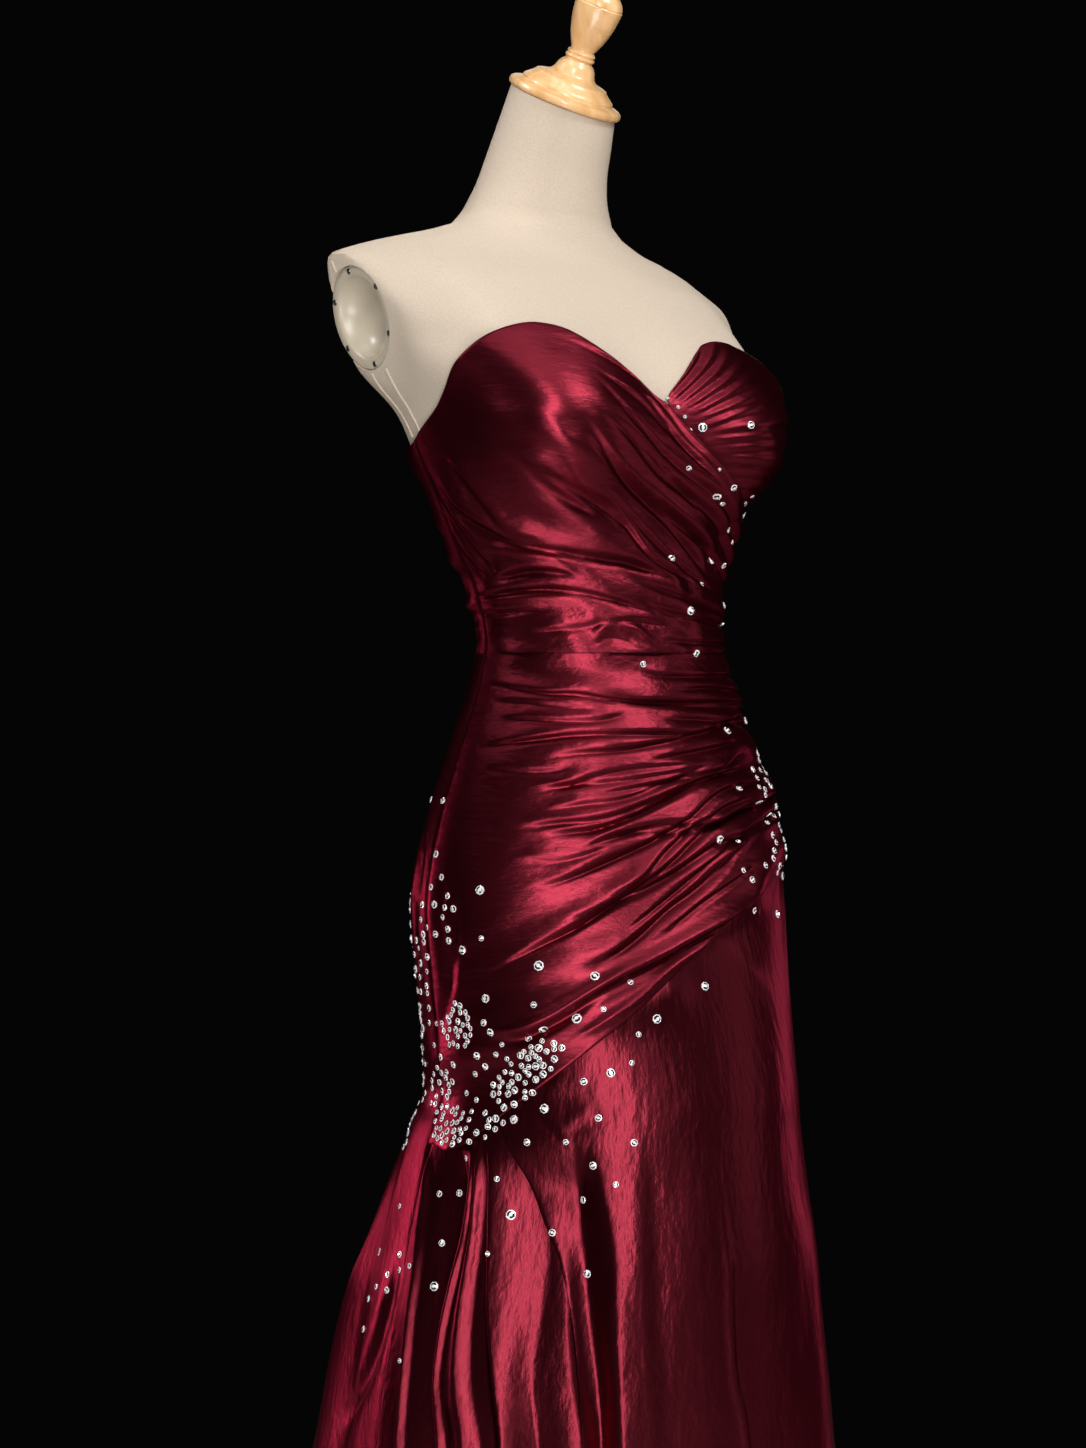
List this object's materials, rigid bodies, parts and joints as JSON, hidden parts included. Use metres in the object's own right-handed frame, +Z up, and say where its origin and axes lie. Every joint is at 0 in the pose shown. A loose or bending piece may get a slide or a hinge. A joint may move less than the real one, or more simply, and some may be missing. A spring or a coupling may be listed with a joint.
{
  "type": "mermaid prom dress on a limbless dress form",
  "caption": "Strapless sweetheart mermaid gown with a gathered wrap bodice, hip drape and flared skirt, on a limbless display form with pole, base and turned neck cap.",
  "frame": {"origin": "on the floor at the centre of the stand's base", "axes": "+Z up, the front faces -Y, +X is the form's left"},
  "size_m": [0.5609, 0.6398, 1.6012],
  "materials": {
    "taffeta": "crisp wine-red taffeta satin with a soft metallic sheen",
    "rhinestone": "clear faceted crystal with a silver back",
    "stone_setting": "polished silver-coloured setting",
    "cover": "plain cream linen cover, finely woven",
    "ivory_plastic": "glossy ivory moulding",
    "beech": "turned and varnished light wood",
    "steel": "brushed bright metal",
    "zip_metal": "enamelled to match the cloth"
  },
  "bodies": {
    "root": {"bodice_wrap_front": "taffeta", "bodice_left_cup": "taffeta", "bodice_back_left": "taffeta", "bodice_back_right": "taffeta", "hip_drape_front": "taffeta", "skirt_front": "taffeta", "skirt_right_side": "taffeta", "skirt_back_left": "taffeta", "skirt_back_right": "taffeta", "zip_slider": "zip_metal", "form_torso": "cover", "arm_socket_right": "ivory_plastic", "arm_socket_left": "ivory_plastic", "neck_cap": "beech", "stand_pole": "steel", "stand_base": "steel"},
    "pull": {"zip_pull": "zip_metal"}
  },
  "joints": [
    {"name": "zip_pull_swing", "type": "hinge", "parent": "root", "child": "pull", "pos_m": [-0.00079, 0.15292, 1.1828], "axis": [1, 0, 0], "range_deg": [-6, 150]}
  ]
}
